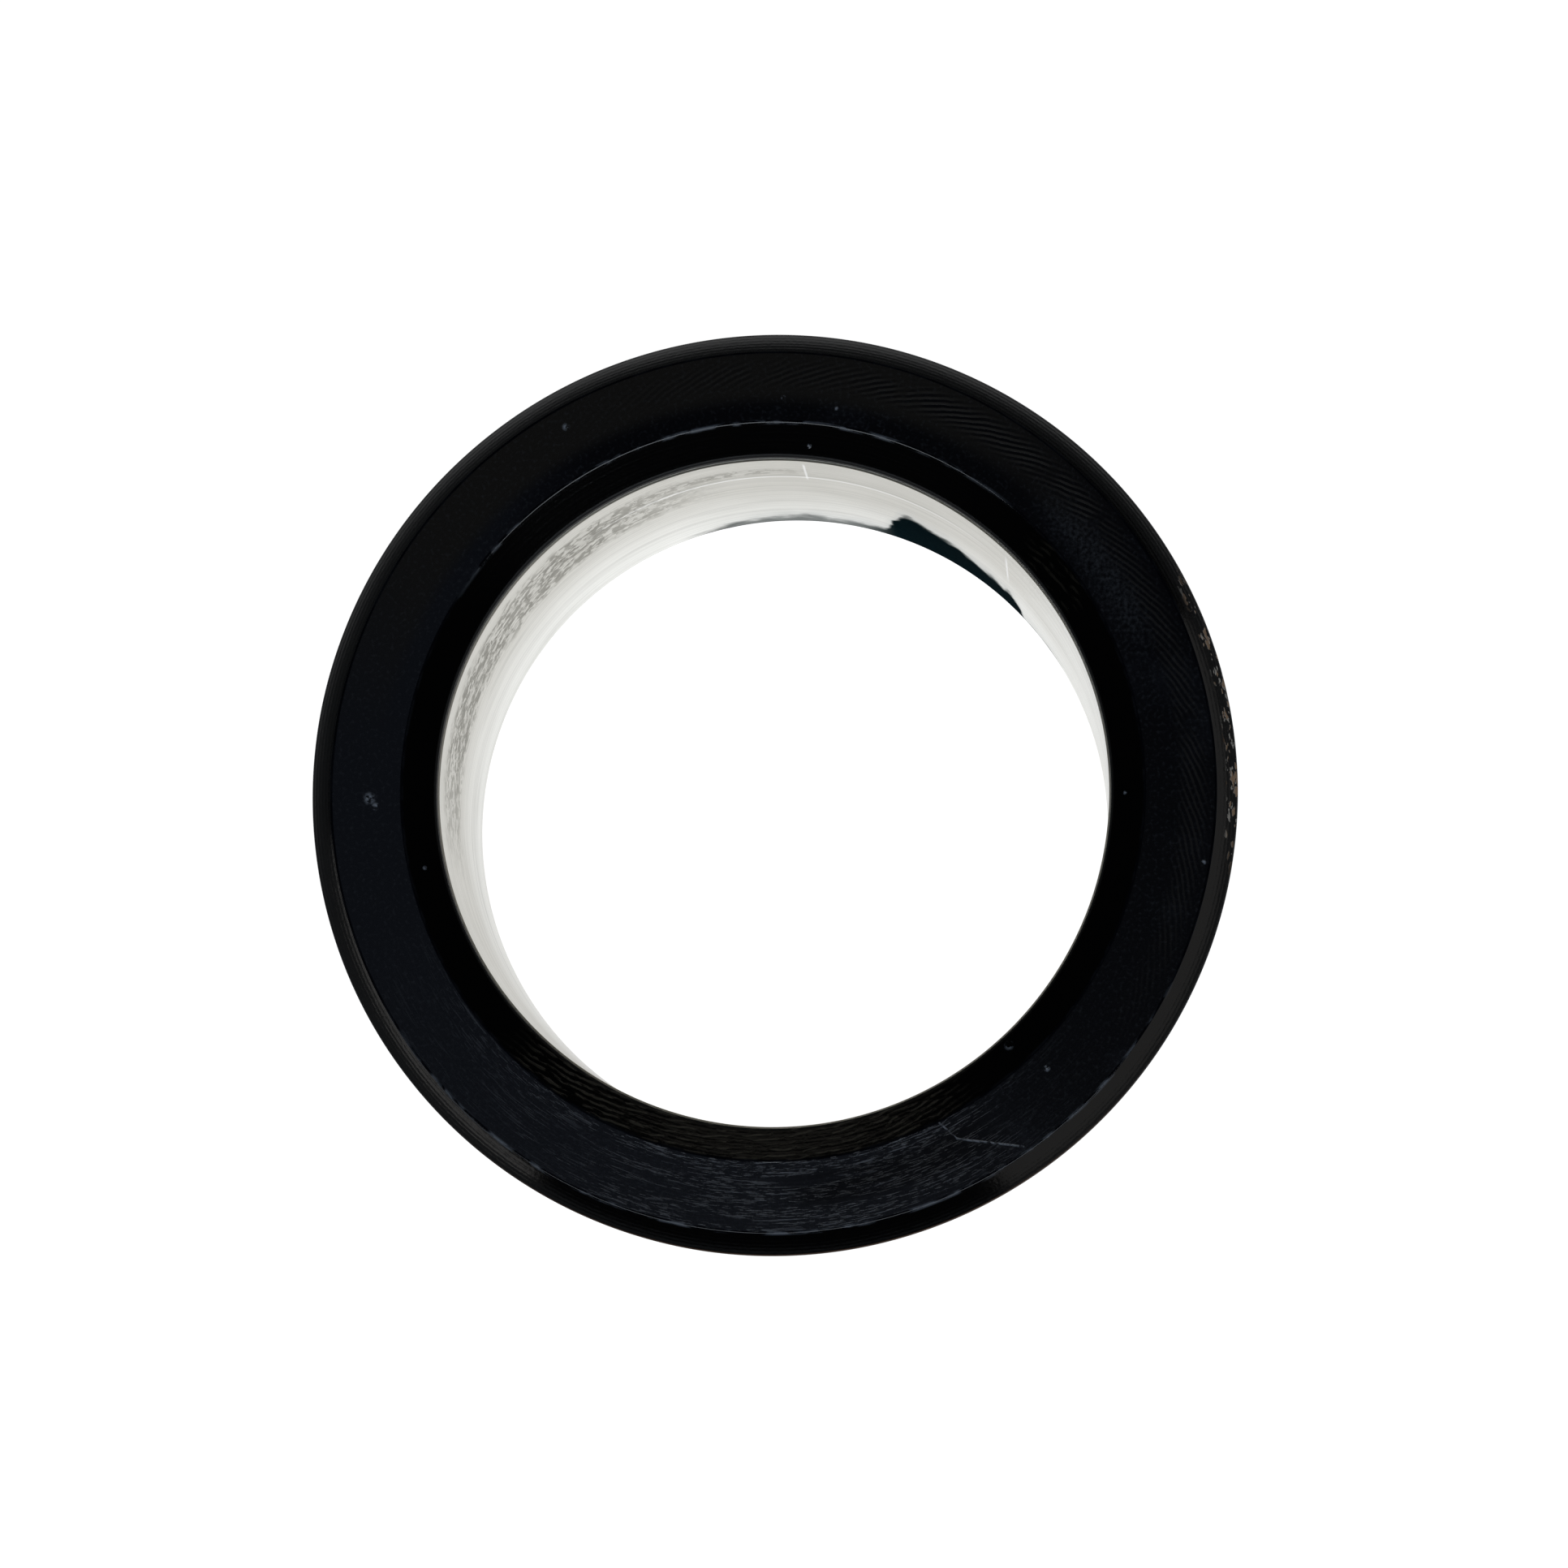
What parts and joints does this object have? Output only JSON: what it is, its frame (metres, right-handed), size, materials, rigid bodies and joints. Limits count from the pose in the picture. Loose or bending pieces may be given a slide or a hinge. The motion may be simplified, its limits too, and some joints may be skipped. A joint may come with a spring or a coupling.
{
  "type": "lined insulating bush",
  "caption": "Black flanged insulating bush with a bevelled rim and countersunk mouth, lined with a pressed-in pale metal sleeve for a fence or gate pipe.",
  "frame": {"origin": "centre of the spigot's rear end, the lowest point of the bush as it stands", "axes": "+Z along the bore, from the spigot's rear end to the flange's face; X and Y are alike, because the bush is round"},
  "size_m": [0.047, 0.047, 0.02],
  "materials": {
    "collar_plastic": "turned black engineering plastic with fine tool marks and worn edges",
    "liner_metal": "turned pale metal with fine circumferential tool lines and a scuffed band near the mouth"
  },
  "bodies": {
    "bush": {"collar": "collar_plastic", "liner": "liner_metal"}
  },
  "joints": []
}
